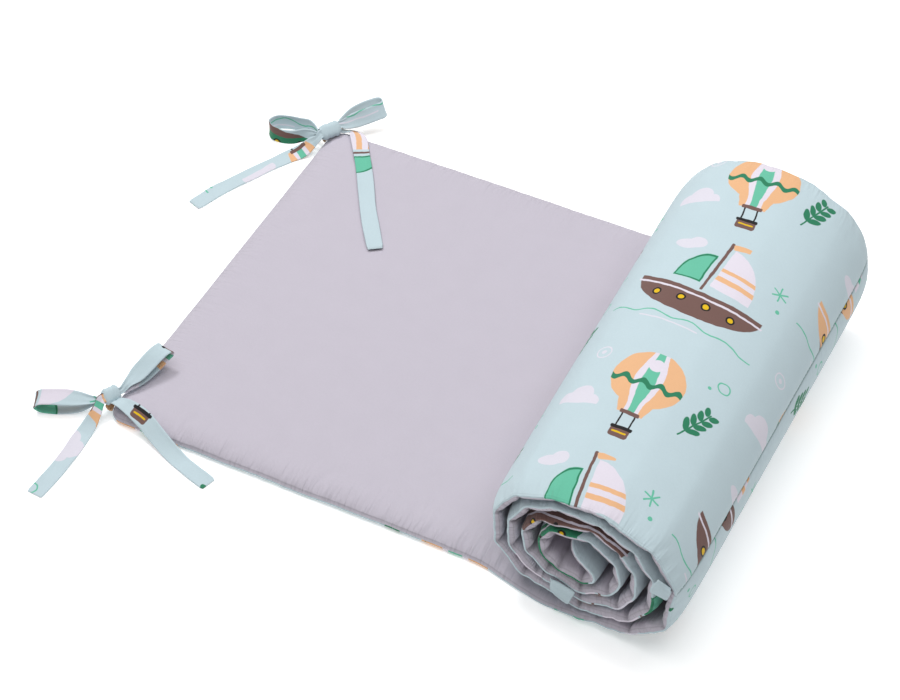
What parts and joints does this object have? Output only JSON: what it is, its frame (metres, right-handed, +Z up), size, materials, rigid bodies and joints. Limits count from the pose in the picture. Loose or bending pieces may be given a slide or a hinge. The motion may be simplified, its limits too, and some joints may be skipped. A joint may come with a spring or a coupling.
{
  "type": "crib bumper",
  "caption": "Long padded cloth bumper for the inside of a crib, rolled up from one end with the other end lying flat, its corner tapes tied in bows.",
  "frame": {"origin": "on the surface, under the middle of the whole part's box", "axes": "+X along the strip from its free end to the roll, +Y across the strip away from the roll's open end with the turns, +Z up"},
  "size_m": [0.6022, 0.5352, 0.1395],
  "materials": {
    "pad_cloth": "matte quilted cotton, grey on one side and pale mint with a nursery print on the other",
    "tie_tape": "matte sewn cotton tape in the same mint print"
  },
  "bodies": {
    "root": {"pad": "pad_cloth", "far_tie_knot": "tie_tape", "far_tie_loop_left": "tie_tape", "far_tie_loop_right": "tie_tape", "far_tie_tail_left": "tie_tape", "far_tie_tail_right": "tie_tape", "far_tie_root": "tie_tape", "near_tie_knot": "tie_tape", "near_tie_loop_left": "tie_tape", "near_tie_loop_right": "tie_tape", "near_tie_tail_left": "tie_tape", "near_tie_tail_right": "tie_tape", "near_tie_root": "tie_tape", "first_seam_stub": "tie_tape", "second_seam_stub": "tie_tape"}
  },
  "joints": []
}
